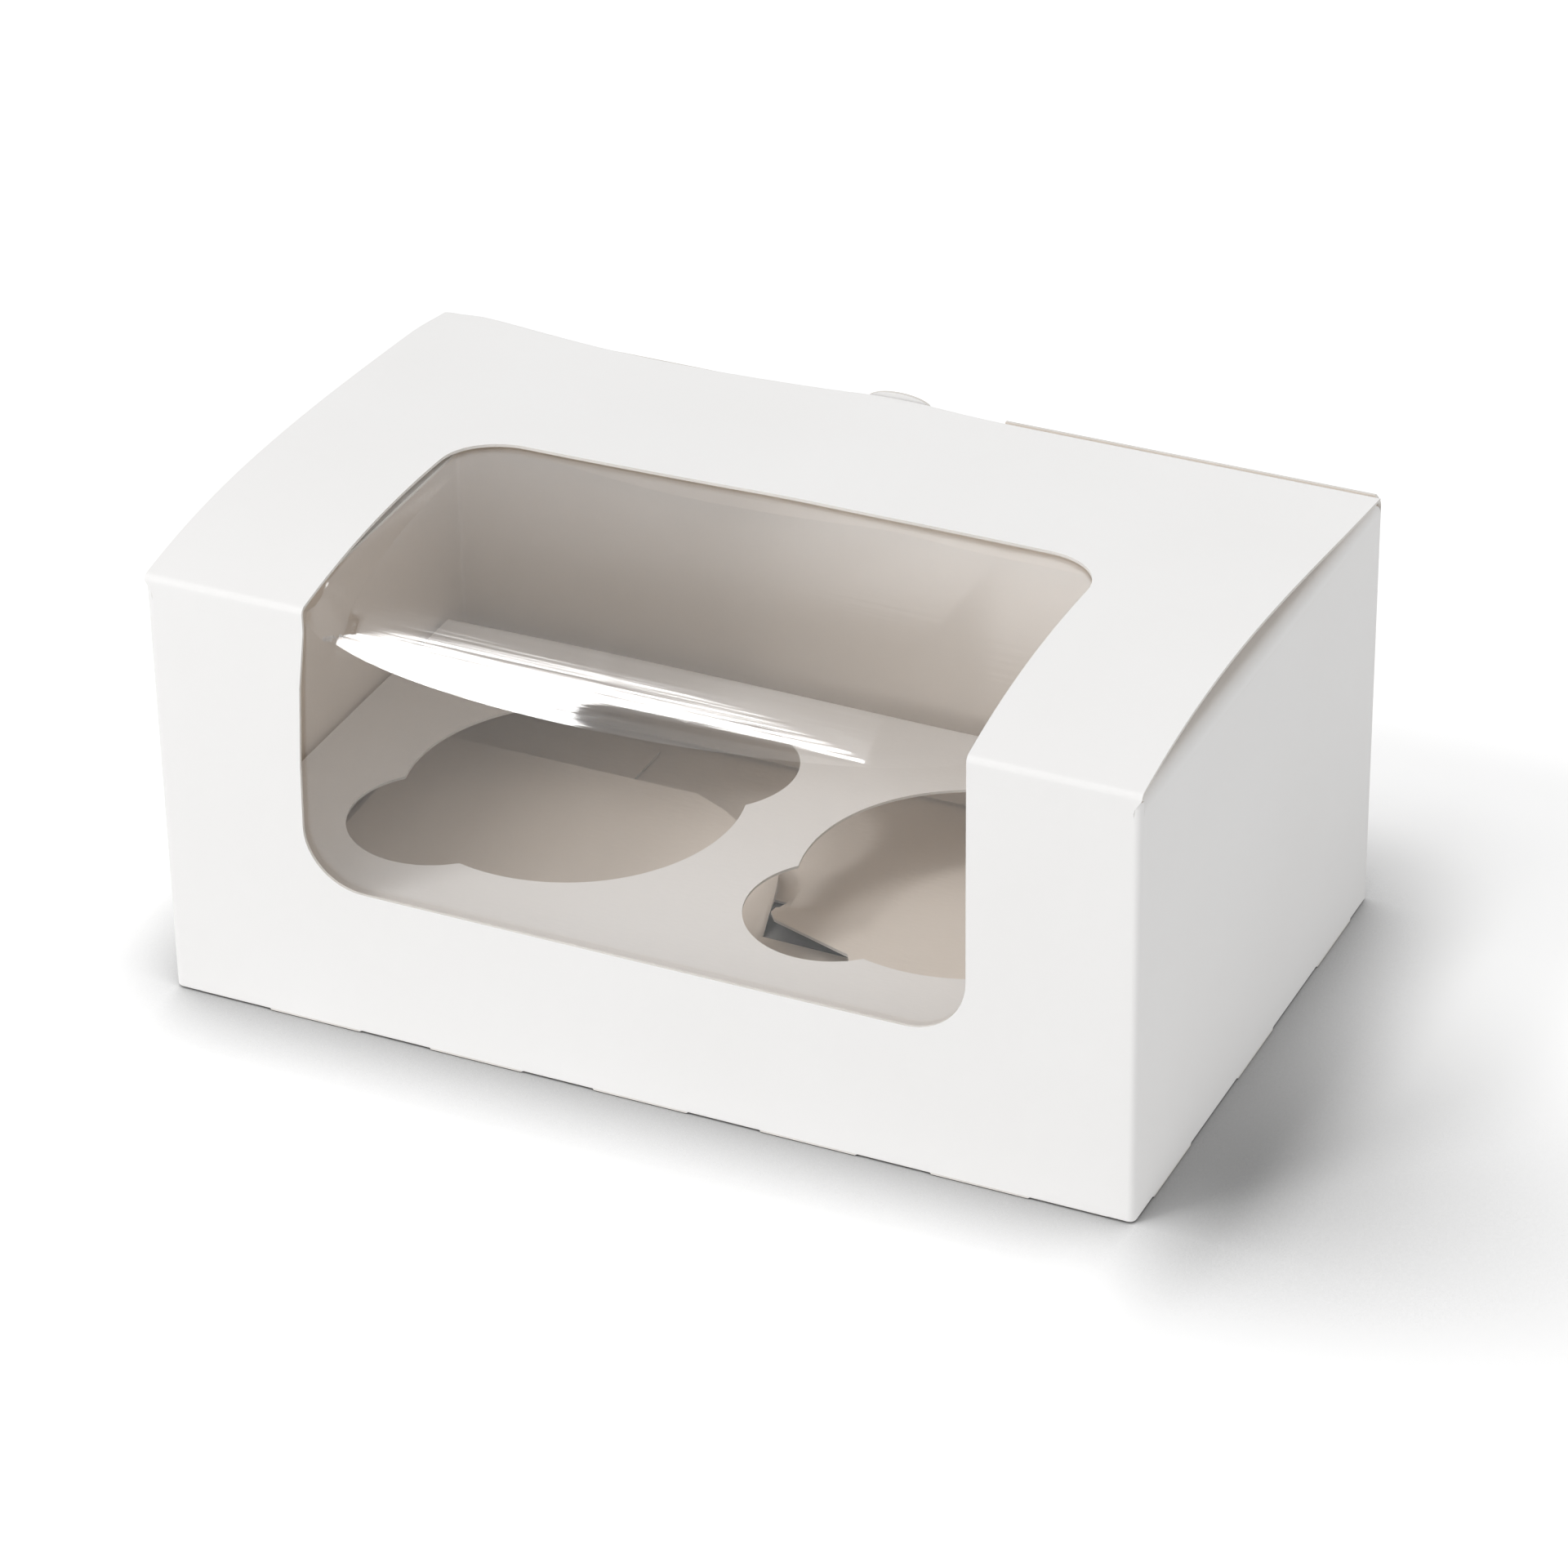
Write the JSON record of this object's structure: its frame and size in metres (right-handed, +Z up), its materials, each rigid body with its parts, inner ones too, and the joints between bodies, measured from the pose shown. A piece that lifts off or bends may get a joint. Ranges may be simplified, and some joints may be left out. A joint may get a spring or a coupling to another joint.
{
  "type": "cupcake box",
  "caption": "White folding-card cupcake box with a hinged tuck-in lid, a clear film window over its front edge, a crash-lock bottom and a card insert with cup holes",
  "frame": {"origin": "middle of the base, on the ground", "axes": "+X along the box's width, to the right as seen from the front; +Y from the windowed front panel to the back panel; +Z up"},
  "size_m": [0.165, 0.101, 0.0789],
  "materials": {
    "white_card": "satin",
    "insert_card": "satin",
    "clear_film": "gloss"
  },
  "bodies": {
    "carton": {"carton": "white_card", "window_film_front": "clear_film", "insert": "insert_card"},
    "lid": {"lid": "white_card", "window_film_lid": "clear_film"}
  },
  "joints": [
    {"name": "lid_hinge", "type": "hinge", "parent": "carton", "child": "lid", "pos_m": [0, -0.05025, 0.07475], "axis": [1, 0, 0], "range_deg": [0, 120]}
  ]
}
